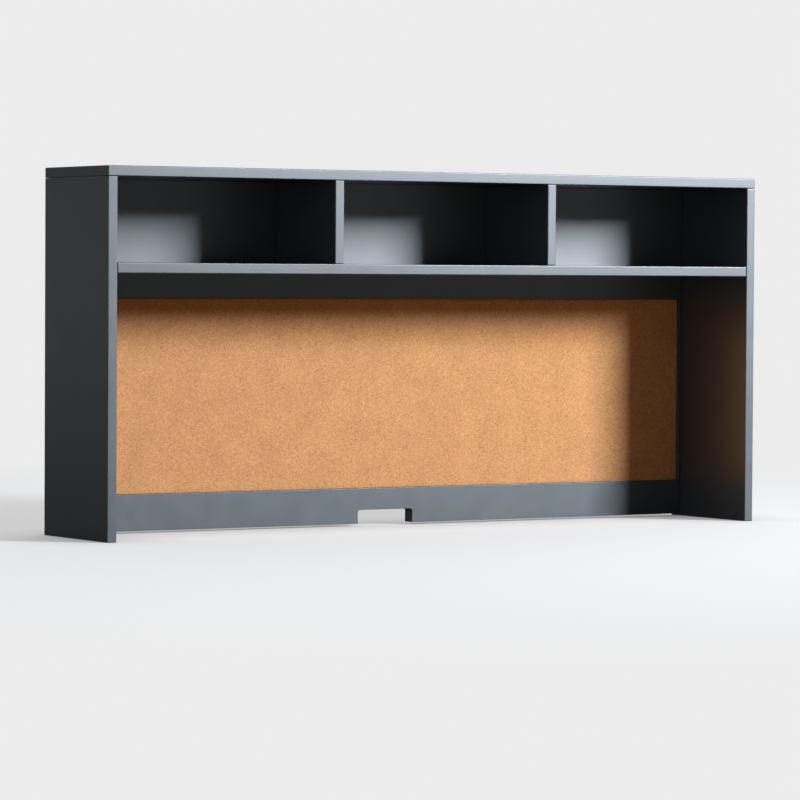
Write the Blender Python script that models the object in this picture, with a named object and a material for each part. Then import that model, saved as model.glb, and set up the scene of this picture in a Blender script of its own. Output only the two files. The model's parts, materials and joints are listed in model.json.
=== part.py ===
"""Desk hutch: a painted case of three cubbies over a cork pinboard.

Frame: metres. X runs along the width (+X to the right), -Y is the open front, +Y faces the
wall and +Z is up. The origin is in the middle of the hutch, level with its feet.

The case is sixteen-millimetre painted fibreboard. The top lies on the two sides, the shelf
hangs between them, and two dividers stand on the shelf. Behind it all a frame of an upper
back panel, a lower rail and two slim stiles holds the pinboard, and a hardboard backer closes
the rear. Glued dowels join the boards, screws from behind draw the back panel to the shelf
and the dividers, and threaded inserts in the feet take bolts from below.
"""

import math

import bmesh
import bpy
from mathutils import Matrix, Vector

# ------------------------------------------------------------------ driving dimensions

# The case
WIDTH = 1.219
DEPTH = 0.209
HEIGHT = 0.5715
BOARD = 0.016                    # thickness of every painted board
EDGE_RADIUS = 0.0013             # the sanded round on each painted board
CUBBY_COUNT = 3
CUBBY_HEIGHT = 0.131

# The back, seen from the front
UPPER_STRIP = 0.0394             # painted strip between the shelf and the cork
LOWER_RAIL_HEIGHT = 0.0575
LOWER_RAIL_LIFT = 0.0035         # air under the lower rail and the backer
STILE_WIDTH = 0.0068
CORK_THICKNESS = 0.005
CORK_SIDE_TRIM = 0.0014          # how far the cork stops short of its core at each side
CORK_EDGE_TRIM = 0.0004          # the same at its top and bottom
BACKER_THICKNESS = 0.006
BACKER_RECESS = 0.0035           # how far the backer lies inside the rear edges

# The cable notch in the lower rail and the backer
NOTCH_WIDTH = 0.104
NOTCH_TOP = 0.026                # above the feet
NOTCH_RADIUS = 0.0045

# Dowels
DOWEL_DIAMETER = 0.008
DOWEL_LENGTH = 0.030
DOWEL_FACE_SEAT = 0.011          # length that sits in the face of a board
DOWEL_CHAMFER = 0.001
DOWEL_MARGIN = 0.030             # from a board's edge to its first dowel
RAIL_DOWEL_MARGIN = 0.013        # the same on the low rail

# Countersunk screws, from behind into the shelf and the dividers
SCREW_DIAMETER = 0.004
SCREW_LENGTH = 0.035
SCREW_HEAD_DIAMETER = 0.008
SCREW_HEAD_HEIGHT = 0.0024

# Pan-head screws that hold the backer
PAN_DIAMETER = 0.0035
PAN_LENGTH = 0.013               # under the head
PAN_HEAD_DIAMETER = 0.007
PAN_HEAD_HEIGHT = 0.0022
PAN_RIM_HEIGHT = 0.0009          # straight rim under the crown
PAN_CROWN_SHARE = 0.62           # flat of the crown over the head's radius
PAN_SLOT_WIDTH = 0.0010
PAN_SLOT_LENGTH = 0.0042
PAN_SLOT_DEPTH = 0.0012
PAN_COUNT = 4                    # in each of the three rows
PAN_SIDE_MARGIN = 0.060          # from the side panel to the first screw
PAN_EDGE_MARGIN = 0.016          # from the edge of the board that a row bites into

# Threaded inserts in the feet
INSERT_DIAMETER = 0.010
INSERT_BORE = 0.005
INSERT_LENGTH = 0.013
INSERT_RECESS = 0.0004

# Fits and facets
GAP = 0.0003                     # between pieces that touch
HOLE_CLEARANCE = 0.0003          # all round a fastener, and at the end of its hole
OVERCUT = 0.002                  # how far a drill starts outside the board
ROUND_SIDES = 12
NOTCH_CORNER_STEPS = 5
EDGE_STEPS = 2

# ------------------------------------------------------------------ derived planes

FRONT = -DEPTH / 2
REAR = DEPTH / 2
OUTER_X = WIDTH / 2
INNER_X = OUTER_X - BOARD                    # inner face of the right side panel
CLEAR_X = INNER_X - GAP                      # where a board between the sides ends

TOP_UNDERSIDE = HEIGHT - BOARD
SHELF_TOP = TOP_UNDERSIDE - CUBBY_HEIGHT
SHELF_UNDERSIDE = SHELF_TOP - BOARD

BACKER_REAR = REAR - BACKER_RECESS
BACKER_FRONT = BACKER_REAR - BACKER_THICKNESS
RAIL_REAR = BACKER_FRONT - GAP
RAIL_FRONT = RAIL_REAR - BOARD
RAIL_MIDDLE = (RAIL_FRONT + RAIL_REAR) / 2
SHELF_REAR = RAIL_FRONT - GAP

UPPER_BACK_LOW = SHELF_UNDERSIDE - UPPER_STRIP
LOWER_RAIL_TOP = LOWER_RAIL_LIFT + LOWER_RAIL_HEIGHT
STILE_X = CLEAR_X - STILE_WIDTH              # the stile's edge beside the pinboard
PINBOARD_X = STILE_X - GAP
PINBOARD_LOW = LOWER_RAIL_TOP + GAP
PINBOARD_TOP = UPPER_BACK_LOW - GAP
CORK_REAR = RAIL_FRONT + CORK_THICKNESS

CUBBY_WIDTH = (2 * INNER_X - (CUBBY_COUNT - 1) * BOARD) / CUBBY_COUNT
CUBBY_STARTS = [-INNER_X + i * (CUBBY_WIDTH + BOARD) for i in range(CUBBY_COUNT)]
DIVIDER_CENTRES = [start - BOARD / 2 for start in CUBBY_STARTS[1:]]


def spread(low, high, count):
    """Evenly spaced places from low to high, both included."""
    return [low + (high - low) * i / (count - 1) for i in range(count)]


# Where each pair of dowels sits: front and rear along a board's depth, low and high up an edge
DEPTH_PAIR = (FRONT + DOWEL_MARGIN, SHELF_REAR - DOWEL_MARGIN)
UPPER_BACK_PAIR = (UPPER_BACK_LOW + DOWEL_MARGIN, TOP_UNDERSIDE - DOWEL_MARGIN)
LOWER_RAIL_PAIR = (LOWER_RAIL_LIFT + RAIL_DOWEL_MARGIN, LOWER_RAIL_TOP - RAIL_DOWEL_MARGIN)
SHELF_MIDDLE = (SHELF_TOP + SHELF_UNDERSIDE) / 2
CUBBY_MIDDLE = (SHELF_TOP + TOP_UNDERSIDE) / 2
SIDE_MIDDLE_X = (OUTER_X + INNER_X) / 2

# ------------------------------------------------------------------ scene and materials

for old in list(bpy.data.objects):
    bpy.data.objects.remove(old, do_unlink=True)


def material(name, colour, roughness, metallic=0.0):
    """One plain finish: colour in linear RGB."""
    made = bpy.data.materials.new(name)
    made.use_nodes = True
    shader = made.node_tree.nodes["Principled BSDF"]
    shader.inputs["Base Color"].default_value = (*colour, 1.0)
    shader.inputs["Roughness"].default_value = roughness
    shader.inputs["Metallic"].default_value = metallic
    return made


PAINT = material("slate_paint", (0.092, 0.118, 0.143), 0.42)
CORK = material("cork", (0.56, 0.32, 0.155), 0.85)
CORE = material("fibreboard", (0.46, 0.34, 0.22), 0.80)
HARDBOARD = material("painted_hardboard", (0.085, 0.108, 0.130), 0.55)
BEECH = material("beech", (0.62, 0.42, 0.24), 0.60)
ZINC = material("zinc_plate", (0.60, 0.60, 0.58), 0.35, 1.0)
BRASS = material("brass", (0.72, 0.50, 0.20), 0.32, 1.0)

# ------------------------------------------------------------------ modelling helpers


def new_mesh(name, mesh_builder, finish=None):
    """A mesh filled by mesh_builder, with its normals facing out."""
    mesh = bpy.data.meshes.new(name)
    bm = bmesh.new()
    mesh_builder(bm)
    bmesh.ops.recalc_face_normals(bm, faces=bm.faces)
    bm.to_mesh(mesh)
    bm.free()
    if finish:
        mesh.materials.append(finish)
    return mesh


def new_object(name, mesh):
    made = bpy.data.objects.new(name, mesh)
    bpy.context.scene.collection.objects.link(made)
    return made


def add_box(bm, low, high):
    """A box between two corners."""
    low, high = Vector(low), Vector(high)
    size = Matrix.Diagonal((*(high - low), 1.0))
    bmesh.ops.create_cube(bm, size=1.0, matrix=Matrix.Translation((low + high) / 2) @ size)


def seat(point, axis):
    """The matrix that takes the origin to point and +Z to the axis."""
    return Matrix.Translation(point) @ Vector(axis).to_track_quat("Z", "Y").to_matrix().to_4x4()


def add_turned(bm, profile, point=(0, 0, 0), axis=(0, 0, 1), closed=False):
    """A turned shape: profile holds (radius, distance along the axis) from the point."""
    before = set(bm.verts)
    verts = [bm.verts.new((radius, 0.0, along)) for radius, along in profile]
    ends = zip(verts, verts[1:] + verts[:1]) if closed else zip(verts, verts[1:])
    edges = [bm.edges.new(pair) for pair in ends]
    bmesh.ops.spin(bm, geom=verts + edges, axis=(0, 0, 1), cent=(0, 0, 0), angle=2 * math.pi,
                   steps=ROUND_SIDES)
    bmesh.ops.remove_doubles(bm, verts=[v for v in bm.verts if v not in before], dist=1e-6)
    turned = [v for v in bm.verts if v not in before]
    bmesh.ops.transform(bm, matrix=seat(point, axis), verts=turned)


def cylinder_profile(radius, start, end):
    return [(0.0, start), (radius, start), (radius, end), (0.0, end)]


def cut(target, name, cutter_builder):
    """Take the shapes that cutter_builder makes out of the target."""
    cutter = new_object(name, new_mesh(name, cutter_builder))
    cutter.hide_render = True
    cutter.display_type = "WIRE"
    boolean = target.modifiers.new(name, "BOOLEAN")
    boolean.operation = "DIFFERENCE"
    boolean.solver = "EXACT"
    boolean.object = cutter


def board(name, low, high, finish=PAINT, eased=True):
    """A flat board between two corners, with its edges rounded as sanding leaves them."""
    made = new_object(name, new_mesh(name, lambda bm: add_box(bm, low, high), finish))
    if eased:
        bevel = made.modifiers.new("eased_edges", "BEVEL")
        bevel.width = EDGE_RADIUS
        bevel.segments = EDGE_STEPS
        bevel.limit_method = "NONE"
    return made


def shade_round(mesh):
    """Smooth the turned faces and keep the corners crisp."""
    mesh.shade_smooth()
    mesh.set_sharp_from_angle(angle=math.radians(40))


# ------------------------------------------------------------------ the joints

DOWEL_EDGE_SEAT = DOWEL_LENGTH - DOWEL_FACE_SEAT - GAP


class DowelJoint:
    """A pair of dowels: each point lies on the face of one board, and the axis leaves that
    face and runs into the edge of the other board."""

    def __init__(self, name, points, axis):
        self.name = name
        self.points = points
        self.axis = axis

    def add_face_holes(self, bm):
        self._add_holes(bm, -DOWEL_FACE_SEAT - HOLE_CLEARANCE, OVERCUT)

    def add_edge_holes(self, bm):
        self._add_holes(bm, GAP - OVERCUT, GAP + DOWEL_EDGE_SEAT + HOLE_CLEARANCE)

    def _add_holes(self, bm, start, end):
        radius = DOWEL_DIAMETER / 2 + HOLE_CLEARANCE
        for point in self.points:
            add_turned(bm, cylinder_profile(radius, start, end), point, self.axis)


SIDES = {"left": -1, "right": 1}
TOP_JOINT = {}
SHELF_JOINT = {}
UPPER_BACK_JOINT = {}
LOWER_RAIL_JOINT = {}
INSERT_POINTS = {}
for hand, sign in SIDES.items():
    inward = (-sign, 0, 0)
    middle_x, inner_x = sign * SIDE_MIDDLE_X, sign * INNER_X
    TOP_JOINT[hand] = DowelJoint(
        f"{hand}_top", [(middle_x, y, TOP_UNDERSIDE) for y in DEPTH_PAIR], (0, 0, -1))
    SHELF_JOINT[hand] = DowelJoint(
        f"{hand}_shelf", [(inner_x, y, SHELF_MIDDLE) for y in DEPTH_PAIR], inward)
    UPPER_BACK_JOINT[hand] = DowelJoint(
        f"{hand}_upper_back", [(inner_x, RAIL_MIDDLE, z) for z in UPPER_BACK_PAIR], inward)
    LOWER_RAIL_JOINT[hand] = DowelJoint(
        f"{hand}_lower_rail", [(inner_x, RAIL_MIDDLE, z) for z in LOWER_RAIL_PAIR], inward)
    INSERT_POINTS[hand] = [(middle_x, y, INSERT_RECESS) for y in DEPTH_PAIR]

DIVIDER_NAMES = ("left_divider", "right_divider")
DIVIDER_FOOT = {}
DIVIDER_HEAD = {}
for name, x in zip(DIVIDER_NAMES, DIVIDER_CENTRES):
    DIVIDER_FOOT[name] = DowelJoint(
        f"{name}_foot", [(x, y, SHELF_TOP) for y in DEPTH_PAIR], (0, 0, 1))
    DIVIDER_HEAD[name] = DowelJoint(
        f"{name}_head", [(x, y, TOP_UNDERSIDE) for y in DEPTH_PAIR], (0, 0, -1))

DOWEL_JOINTS = [joint for joints in (TOP_JOINT, SHELF_JOINT, DIVIDER_FOOT, DIVIDER_HEAD,
                                     UPPER_BACK_JOINT, LOWER_RAIL_JOINT)
                for joint in joints.values()]

# Screws start at a rear face and run forward
FORWARD = (0, -1, 0)
SHELF_SCREW_POINTS = [(start + CUBBY_WIDTH / 2, RAIL_REAR, SHELF_MIDDLE)
                      for start in CUBBY_STARTS]
DIVIDER_SCREW_POINTS = {name: (x, RAIL_REAR, CUBBY_MIDDLE)
                        for name, x in zip(DIVIDER_NAMES, DIVIDER_CENTRES)}
PAN_X = spread(-INNER_X + PAN_SIDE_MARGIN, INNER_X - PAN_SIDE_MARGIN, PAN_COUNT)
PAN_POINTS = {
    "top": [(x, BACKER_REAR, TOP_UNDERSIDE - PAN_EDGE_MARGIN) for x in PAN_X],
    "middle": [(x, BACKER_REAR, UPPER_BACK_LOW + PAN_EDGE_MARGIN) for x in PAN_X],
    "bottom": [(x, BACKER_REAR, LOWER_RAIL_TOP - PAN_EDGE_MARGIN) for x in PAN_X]}


def dowel_mesh():
    radius = DOWEL_DIAMETER / 2
    tip = radius - DOWEL_CHAMFER
    start, end = -DOWEL_FACE_SEAT, DOWEL_LENGTH - DOWEL_FACE_SEAT
    profile = [(0.0, start), (tip, start), (radius, start + DOWEL_CHAMFER),
               (radius, end - DOWEL_CHAMFER), (tip, end), (0.0, end)]
    return new_mesh("dowel", lambda bm: add_turned(bm, profile), BEECH)


def countersunk_mesh():
    """The head's flat lies a gap inside the back panel's rear face."""
    shank, head = SCREW_DIAMETER / 2, SCREW_HEAD_DIAMETER / 2
    profile = [(0.0, GAP), (head, GAP), (shank, GAP + SCREW_HEAD_HEIGHT),
               (shank, SCREW_LENGTH - SCREW_DIAMETER), (0.0, SCREW_LENGTH)]
    return new_mesh("countersunk_screw", lambda bm: add_turned(bm, profile), ZINC)


def add_countersunk_hole(bm, point):
    """Clearance all round the screw, with the countersink open at the rear face."""
    shank = SCREW_DIAMETER / 2 + HOLE_CLEARANCE
    head = SCREW_HEAD_DIAMETER / 2 + HOLE_CLEARANCE
    sink = GAP + HOLE_CLEARANCE
    end = SCREW_LENGTH + HOLE_CLEARANCE
    profile = [(0.0, -OVERCUT), (head, -OVERCUT), (head, sink), (shank, sink + SCREW_HEAD_HEIGHT),
               (shank, end), (0.0, end)]
    add_turned(bm, profile, point, FORWARD)


def pan_mesh():
    """A rounded head with a crossed recess. The head stands a gap behind the backer."""
    shank, head = PAN_DIAMETER / 2, PAN_HEAD_DIAMETER / 2
    crown = -GAP - PAN_HEAD_HEIGHT
    profile = [(0.0, crown), (PAN_CROWN_SHARE * head, crown), (head, -GAP - PAN_RIM_HEIGHT),
               (head, -GAP), (shank, -GAP), (shank, PAN_LENGTH - PAN_DIAMETER), (0.0, PAN_LENGTH)]
    blank = new_object("pan_blank", new_mesh("pan_blank", lambda bm: add_turned(bm, profile), ZINC))
    for name, across, up in (("slot", PAN_SLOT_LENGTH, PAN_SLOT_WIDTH),
                             ("cross_slot", PAN_SLOT_WIDTH, PAN_SLOT_LENGTH)):
        low = (-across / 2, -up / 2, crown - OVERCUT)
        high = (across / 2, up / 2, crown + PAN_SLOT_DEPTH)
        cut(blank, name, lambda bm, low=low, high=high: add_box(bm, low, high))
    finished = blank.evaluated_get(bpy.context.evaluated_depsgraph_get())
    mesh = bpy.data.meshes.new_from_object(finished)
    for used in [blank] + [modifier.object for modifier in blank.modifiers]:
        bpy.data.objects.remove(used)
    return mesh


def add_pan_hole(bm, point):
    radius = PAN_DIAMETER / 2 + HOLE_CLEARANCE
    add_turned(bm, cylinder_profile(radius, -OVERCUT, PAN_LENGTH + HOLE_CLEARANCE), point, FORWARD)


def insert_mesh():
    outer, bore = INSERT_DIAMETER / 2, INSERT_BORE / 2
    profile = [(bore, 0.0), (outer, 0.0), (outer, INSERT_LENGTH), (bore, INSERT_LENGTH)]
    return new_mesh("insert", lambda bm: add_turned(bm, profile, closed=True), BRASS)


def add_insert_hole(bm, point):
    radius = INSERT_DIAMETER / 2 + HOLE_CLEARANCE
    profile = cylinder_profile(radius, -OVERCUT, INSERT_LENGTH + HOLE_CLEARANCE)
    add_turned(bm, profile, point, (0, 0, 1))


def add_notch(bm):
    """The cable notch: open at the bottom, with its two upper corners rounded."""
    half, radius = NOTCH_WIDTH / 2, NOTCH_RADIUS
    outline = [(-half, -OVERCUT), (half, -OVERCUT)]
    for centre_x, start in ((half - radius, 0.0), (radius - half, math.pi / 2)):
        for i in range(NOTCH_CORNER_STEPS + 1):
            angle = start + math.pi / 2 * i / NOTCH_CORNER_STEPS
            outline.append((centre_x + radius * math.cos(angle),
                            NOTCH_TOP - radius + radius * math.sin(angle)))
    near, far = RAIL_FRONT - OVERCUT, BACKER_REAR + OVERCUT
    face = bm.faces.new([bm.verts.new((x, near, z)) for x, z in outline])
    grown = bmesh.ops.extrude_face_region(bm, geom=[face])["geom"]
    bmesh.ops.translate(bm, vec=(0, far - near, 0),
                        verts=[v for v in grown if isinstance(v, bmesh.types.BMVert)])


# ------------------------------------------------------------------ the painted boards


def drill(target, joints=(), edge_joints=(), screws=(), pans=(), inserts=(), notched=False):
    """Drill every hole of one board, and saw its cable notch, with a single cutter."""
    def holes(bm):
        for joint in joints:
            joint.add_face_holes(bm)
        for joint in edge_joints:
            joint.add_edge_holes(bm)
        for point in screws:
            add_countersunk_hole(bm, point)
        for point in pans:
            add_pan_hole(bm, point)
        for point in inserts:
            add_insert_hole(bm, point)
        if notched:
            add_notch(bm)
    cut(target, target.name + "_holes", holes)


def build_top():
    top = board("top_panel", (-OUTER_X, FRONT, TOP_UNDERSIDE), (OUTER_X, REAR, HEIGHT))
    drill(top, joints=[*TOP_JOINT.values(), *DIVIDER_HEAD.values()])


def build_side(hand):
    low_x, high_x = sorted((SIDES[hand] * INNER_X, SIDES[hand] * OUTER_X))
    panel = board(f"{hand}_side_panel", (low_x, FRONT, 0.0), (high_x, REAR, TOP_UNDERSIDE - GAP))
    drill(panel, joints=[SHELF_JOINT[hand], UPPER_BACK_JOINT[hand], LOWER_RAIL_JOINT[hand]],
          edge_joints=[TOP_JOINT[hand]], inserts=INSERT_POINTS[hand])


def build_shelf():
    shelf = board("shelf_panel", (-CLEAR_X, FRONT, SHELF_UNDERSIDE), (CLEAR_X, SHELF_REAR, SHELF_TOP))
    drill(shelf, joints=DIVIDER_FOOT.values(), edge_joints=SHELF_JOINT.values(),
          screws=SHELF_SCREW_POINTS)


def build_divider(name, x):
    divider = board(name, (x - BOARD / 2, FRONT, SHELF_TOP + GAP),
                    (x + BOARD / 2, SHELF_REAR, TOP_UNDERSIDE - GAP))
    drill(divider, edge_joints=[DIVIDER_FOOT[name], DIVIDER_HEAD[name]],
          screws=[DIVIDER_SCREW_POINTS[name]])


# ------------------------------------------------------------------ the back frame


def build_upper_back():
    panel = board("upper_back_panel", (-CLEAR_X, RAIL_FRONT, UPPER_BACK_LOW),
                  (CLEAR_X, RAIL_REAR, TOP_UNDERSIDE - GAP))
    drill(panel, edge_joints=UPPER_BACK_JOINT.values(),
          screws=[*SHELF_SCREW_POINTS, *DIVIDER_SCREW_POINTS.values()],
          pans=PAN_POINTS["top"] + PAN_POINTS["middle"])


def build_lower_rail():
    rail = board("lower_back_rail", (-CLEAR_X, RAIL_FRONT, LOWER_RAIL_LIFT),
                 (CLEAR_X, RAIL_REAR, LOWER_RAIL_TOP))
    drill(rail, edge_joints=LOWER_RAIL_JOINT.values(), pans=PAN_POINTS["bottom"], notched=True)


def build_stile(hand):
    low_x, high_x = sorted((SIDES[hand] * STILE_X, SIDES[hand] * CLEAR_X))
    board(f"{hand}_back_stile", (low_x, RAIL_FRONT, PINBOARD_LOW), (high_x, RAIL_REAR, PINBOARD_TOP))


def build_pinboard():
    board("pinboard_core", (-PINBOARD_X, CORK_REAR + GAP, PINBOARD_LOW),
          (PINBOARD_X, RAIL_REAR, PINBOARD_TOP), CORE, eased=False)
    cork_x = PINBOARD_X - CORK_SIDE_TRIM
    board("cork_sheet", (-cork_x, RAIL_FRONT, PINBOARD_LOW + CORK_EDGE_TRIM),
          (cork_x, CORK_REAR, PINBOARD_TOP - CORK_EDGE_TRIM), CORK, eased=False)


def build_backer():
    backer = board("backer_board", (-CLEAR_X, BACKER_FRONT, LOWER_RAIL_LIFT),
                   (CLEAR_X, BACKER_REAR, TOP_UNDERSIDE - GAP), HARDBOARD, eased=False)
    drill(backer, pans=sum(PAN_POINTS.values(), []), notched=True)


# ------------------------------------------------------------------ dowels, screws, inserts


def place(prefix, mesh, points, axis):
    """One object for each point, numbered from one, all sharing the mesh."""
    for number, point in enumerate(points, start=1):
        made = new_object(f"{prefix}_{number}", mesh)
        made.matrix_world = seat(point, axis)


def build_fasteners():
    dowel, countersunk, pan, insert = dowel_mesh(), countersunk_mesh(), pan_mesh(), insert_mesh()
    for mesh in (dowel, countersunk, pan, insert):
        shade_round(mesh)
    for joint in DOWEL_JOINTS:
        place(f"{joint.name}_dowel", dowel, joint.points, joint.axis)
    place("shelf_screw", countersunk, SHELF_SCREW_POINTS, FORWARD)
    for name, point in DIVIDER_SCREW_POINTS.items():
        place(f"{name}_screw", countersunk, [point], FORWARD)
    for row, points in PAN_POINTS.items():
        place(f"backer_{row}_screw", pan, points, FORWARD)
    for hand, points in INSERT_POINTS.items():
        place(f"{hand}_foot_insert", insert, points, (0, 0, 1))


build_top()
build_shelf()
for hand in SIDES:
    build_side(hand)
    build_stile(hand)
for name, x in zip(DIVIDER_NAMES, DIVIDER_CENTRES):
    build_divider(name, x)
build_upper_back()
build_lower_rail()
build_pinboard()
build_backer()
build_fasteners()
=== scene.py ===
# %% [markdown]
# # Dressing a desk hutch
#
# A desk hutch is a low open case without a floor of its own. This one has three cubbies over a cork
# pinboard, and a notch at the bottom of its back lets cables through. It is painted slate blue.
#
# The frame that this lesson loads holds every board, dowel and screw at its real size, in metres: X
# runs to the right, Y to the wall and Z up, and the origin is in the middle, level with the feet.
# Nothing here moves or resizes those pieces. The lesson gives them their looks: lacquered boards with
# sanded edges, pressed cork, and small metal parts. Every cell prints what it made or measured.

import json
import math

import bmesh
import bpy
from mathutils import Matrix, Vector, noise

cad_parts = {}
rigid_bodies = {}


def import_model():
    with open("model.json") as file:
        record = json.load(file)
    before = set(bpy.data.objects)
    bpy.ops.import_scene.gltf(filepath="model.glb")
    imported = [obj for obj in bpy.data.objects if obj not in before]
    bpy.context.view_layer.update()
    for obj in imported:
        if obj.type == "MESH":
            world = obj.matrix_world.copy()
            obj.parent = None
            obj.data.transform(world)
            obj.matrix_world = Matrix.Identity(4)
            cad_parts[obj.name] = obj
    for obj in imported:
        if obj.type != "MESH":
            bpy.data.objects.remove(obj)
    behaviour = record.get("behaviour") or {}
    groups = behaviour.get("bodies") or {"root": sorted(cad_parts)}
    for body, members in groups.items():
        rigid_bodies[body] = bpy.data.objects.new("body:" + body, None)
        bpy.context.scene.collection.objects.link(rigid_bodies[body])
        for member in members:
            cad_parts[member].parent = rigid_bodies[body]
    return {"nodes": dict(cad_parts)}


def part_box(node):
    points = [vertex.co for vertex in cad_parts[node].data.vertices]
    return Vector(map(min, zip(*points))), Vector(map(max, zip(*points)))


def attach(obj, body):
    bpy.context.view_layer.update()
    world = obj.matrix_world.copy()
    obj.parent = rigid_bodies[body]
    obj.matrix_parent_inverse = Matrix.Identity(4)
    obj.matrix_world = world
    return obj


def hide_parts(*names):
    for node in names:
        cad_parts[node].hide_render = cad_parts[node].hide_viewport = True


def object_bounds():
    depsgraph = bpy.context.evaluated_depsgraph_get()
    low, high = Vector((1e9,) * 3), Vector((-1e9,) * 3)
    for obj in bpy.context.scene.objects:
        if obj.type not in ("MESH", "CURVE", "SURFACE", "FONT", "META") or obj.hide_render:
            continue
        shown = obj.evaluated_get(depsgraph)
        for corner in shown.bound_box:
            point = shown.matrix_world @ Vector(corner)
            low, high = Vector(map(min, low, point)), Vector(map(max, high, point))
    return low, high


for leftover in list(bpy.data.objects):
    bpy.data.objects.remove(leftover, do_unlink=True)
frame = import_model()
NODES = frame["nodes"]
SHARED_FRAME = [list(corner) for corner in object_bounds()]
CASE_LOW, CASE_HIGH = (Vector(corner) for corner in SHARED_FRAME)
MM = 0.001
print("pieces in the frame:", len(NODES))
print("case, mm:", [round(side / MM, 1) for side in CASE_HIGH - CASE_LOW])

# %% [markdown]
# ## The camera
#
# The photograph was taken with a long lens from the left, a little below the top of the case, so the
# boards' edges stay almost parallel. A camera can be aimed at a target, but then a small roll is
# hard to set. Here its place and its three angles are given instead, and its axes are built from
# them: yaw turns it to the right, pitch tips it and roll turns it about its own line of sight.

# %% Build the camera from a place and three angles
LENS = 183.0 * MM
SENSOR_WIDTH = 36.0 * MM
SIGHT = 100.0                    # how far the camera sees, in metres
CAMERA_PLACE = Vector((-3.5034, -5.5439, 0.4074))
CAMERA_YAW = math.radians(32.127)
CAMERA_PITCH = math.radians(-1.756)
CAMERA_ROLL = math.radians(0.318)


def camera_axes(yaw, pitch, roll):
    """The camera's right, up and forward directions."""
    forward = Vector((math.sin(yaw) * math.cos(pitch), math.cos(yaw) * math.cos(pitch),
                      math.sin(pitch)))
    level_right = Vector((math.cos(yaw), -math.sin(yaw), 0.0))
    level_up = level_right.cross(forward)
    right = math.cos(roll) * level_right + math.sin(roll) * level_up
    return right, right.cross(forward), forward


def add_object(name, data):
    """A new object, linked to the scene."""
    made = bpy.data.objects.new(name, data)
    bpy.context.scene.collection.objects.link(made)
    return made


lens_data = bpy.data.cameras.new("camera")
lens_data.lens = LENS / MM
lens_data.sensor_width = SENSOR_WIDTH / MM
lens_data.clip_end = SIGHT
camera = add_object("camera", lens_data)
right, up, forward = camera_axes(CAMERA_YAW, CAMERA_PITCH, CAMERA_ROLL)
camera.matrix_world = Matrix.Translation(CAMERA_PLACE) @ Matrix(
    (right, up, -forward)).transposed().to_4x4()
bpy.context.scene.camera = camera
bpy.context.scene.view_settings.view_transform = "Standard"
print("camera to case, m:", round((CAMERA_PLACE - (CASE_LOW + CASE_HIGH) / 2).length, 2))

# %% [markdown]
# ## A kit for node materials
#
# Every finish below is made of the same few things: noise and grains of a real size, a change of
# range, a mix of two colours and a bump of a real depth. Object coordinates are in metres, so a
# pattern's size can be written in millimetres and stays right on every board. Image textures could
# do the same, but they need files and repeat themselves, and nodes don't.

# %% Helpers that add nodes with real sizes
USUAL_NOISE = (0.3, 0.7)          # noise seldom leaves this range


def add_node(tree, kind, **settings):
    """Add a node and set its properties."""
    made = tree.nodes.new(kind)
    for key, value in settings.items():
        setattr(made, key, value)
    return made


def feed(tree, socket, value):
    """Give a socket a plain value, or link it to another node's output."""
    if isinstance(value, bpy.types.NodeSocket):
        tree.links.new(value, socket)
    else:
        socket.default_value = value


def place_of(tree, stretch=(1.0, 1.0, 1.0)):
    """Where a point lies on the piece, in metres, divided by the stretch along X, Y and Z."""
    place = tree.nodes.new("ShaderNodeTexCoord").outputs["Object"]
    mapping = tree.nodes.new("ShaderNodeMapping")
    tree.links.new(place, mapping.inputs["Vector"])
    mapping.inputs["Scale"].default_value = [1.0 / s for s in stretch]
    return mapping.outputs["Vector"]


def clouds(tree, place, size, detail=2.0, rough=0.5):
    """Soft noise whose blotches are about as wide as size. It runs from 0 to 1."""
    made = tree.nodes.new("ShaderNodeTexNoise")
    tree.links.new(place, made.inputs["Vector"])
    made.inputs["Scale"].default_value = 1.0 / size
    made.inputs["Detail"].default_value = detail
    made.inputs["Roughness"].default_value = rough
    return made.outputs["Fac"]


def remap(tree, value, low, high, to_low, to_high):
    """Change a value's range, and hold it inside the new one."""
    made = tree.nodes.new("ShaderNodeMapRange")
    feed(tree, made.inputs["Value"], value)
    for name, number in (("From Min", low), ("From Max", high), ("To Min", to_low),
                         ("To Max", to_high)):
        made.inputs[name].default_value = number
    return made.outputs["Result"]


def spread(tree, blotches, low=0.0, high=1.0):
    """Stretch the range that noise usually keeps to over a new one."""
    return remap(tree, blotches, *USUAL_NOISE, low, high)


def sum_of(tree, first, second, operation="ADD"):
    """Add two values, or combine them with another operation."""
    made = add_node(tree, "ShaderNodeMath", operation=operation)
    feed(tree, made.inputs[0], first)
    feed(tree, made.inputs[1], second)
    return made.outputs["Value"]


def mix_colours(tree, share, first, second, blend="MIX"):
    """Mix two colours. A share of 0 gives the first one, and a share of 1 the second."""
    made = add_node(tree, "ShaderNodeMix", data_type="RGBA", blend_type=blend)
    feed(tree, made.inputs["Factor"], share)
    feed(tree, made.inputs[6], first if isinstance(first, bpy.types.NodeSocket) else (*first, 1.0))
    feed(tree, made.inputs[7], second if isinstance(second, bpy.types.NodeSocket) else (*second, 1.0))
    return made.outputs[2]


def raise_by(tree, height, depth, under=None):
    """A bump: the height, from 0 to 1, stands for this real depth. It can lie on another bump."""
    made = tree.nodes.new("ShaderNodeBump")
    tree.links.new(height, made.inputs["Height"])
    made.inputs["Distance"].default_value = depth
    if under:
        tree.links.new(under, made.inputs["Normal"])
    return made.outputs["Normal"]


def start_finish(name, roughness, specular=0.5, metallic=0.0):
    """A material with a Principled shader and its constant sockets set."""
    made = bpy.data.materials.new(name)
    made.use_nodes = True
    shader = made.node_tree.nodes["Principled BSDF"]
    shader.inputs["Roughness"].default_value = roughness
    shader.inputs["Specular IOR Level"].default_value = specular
    shader.inputs["Metallic"].default_value = metallic
    return made, made.node_tree, shader


print("node helpers ready")

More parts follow.
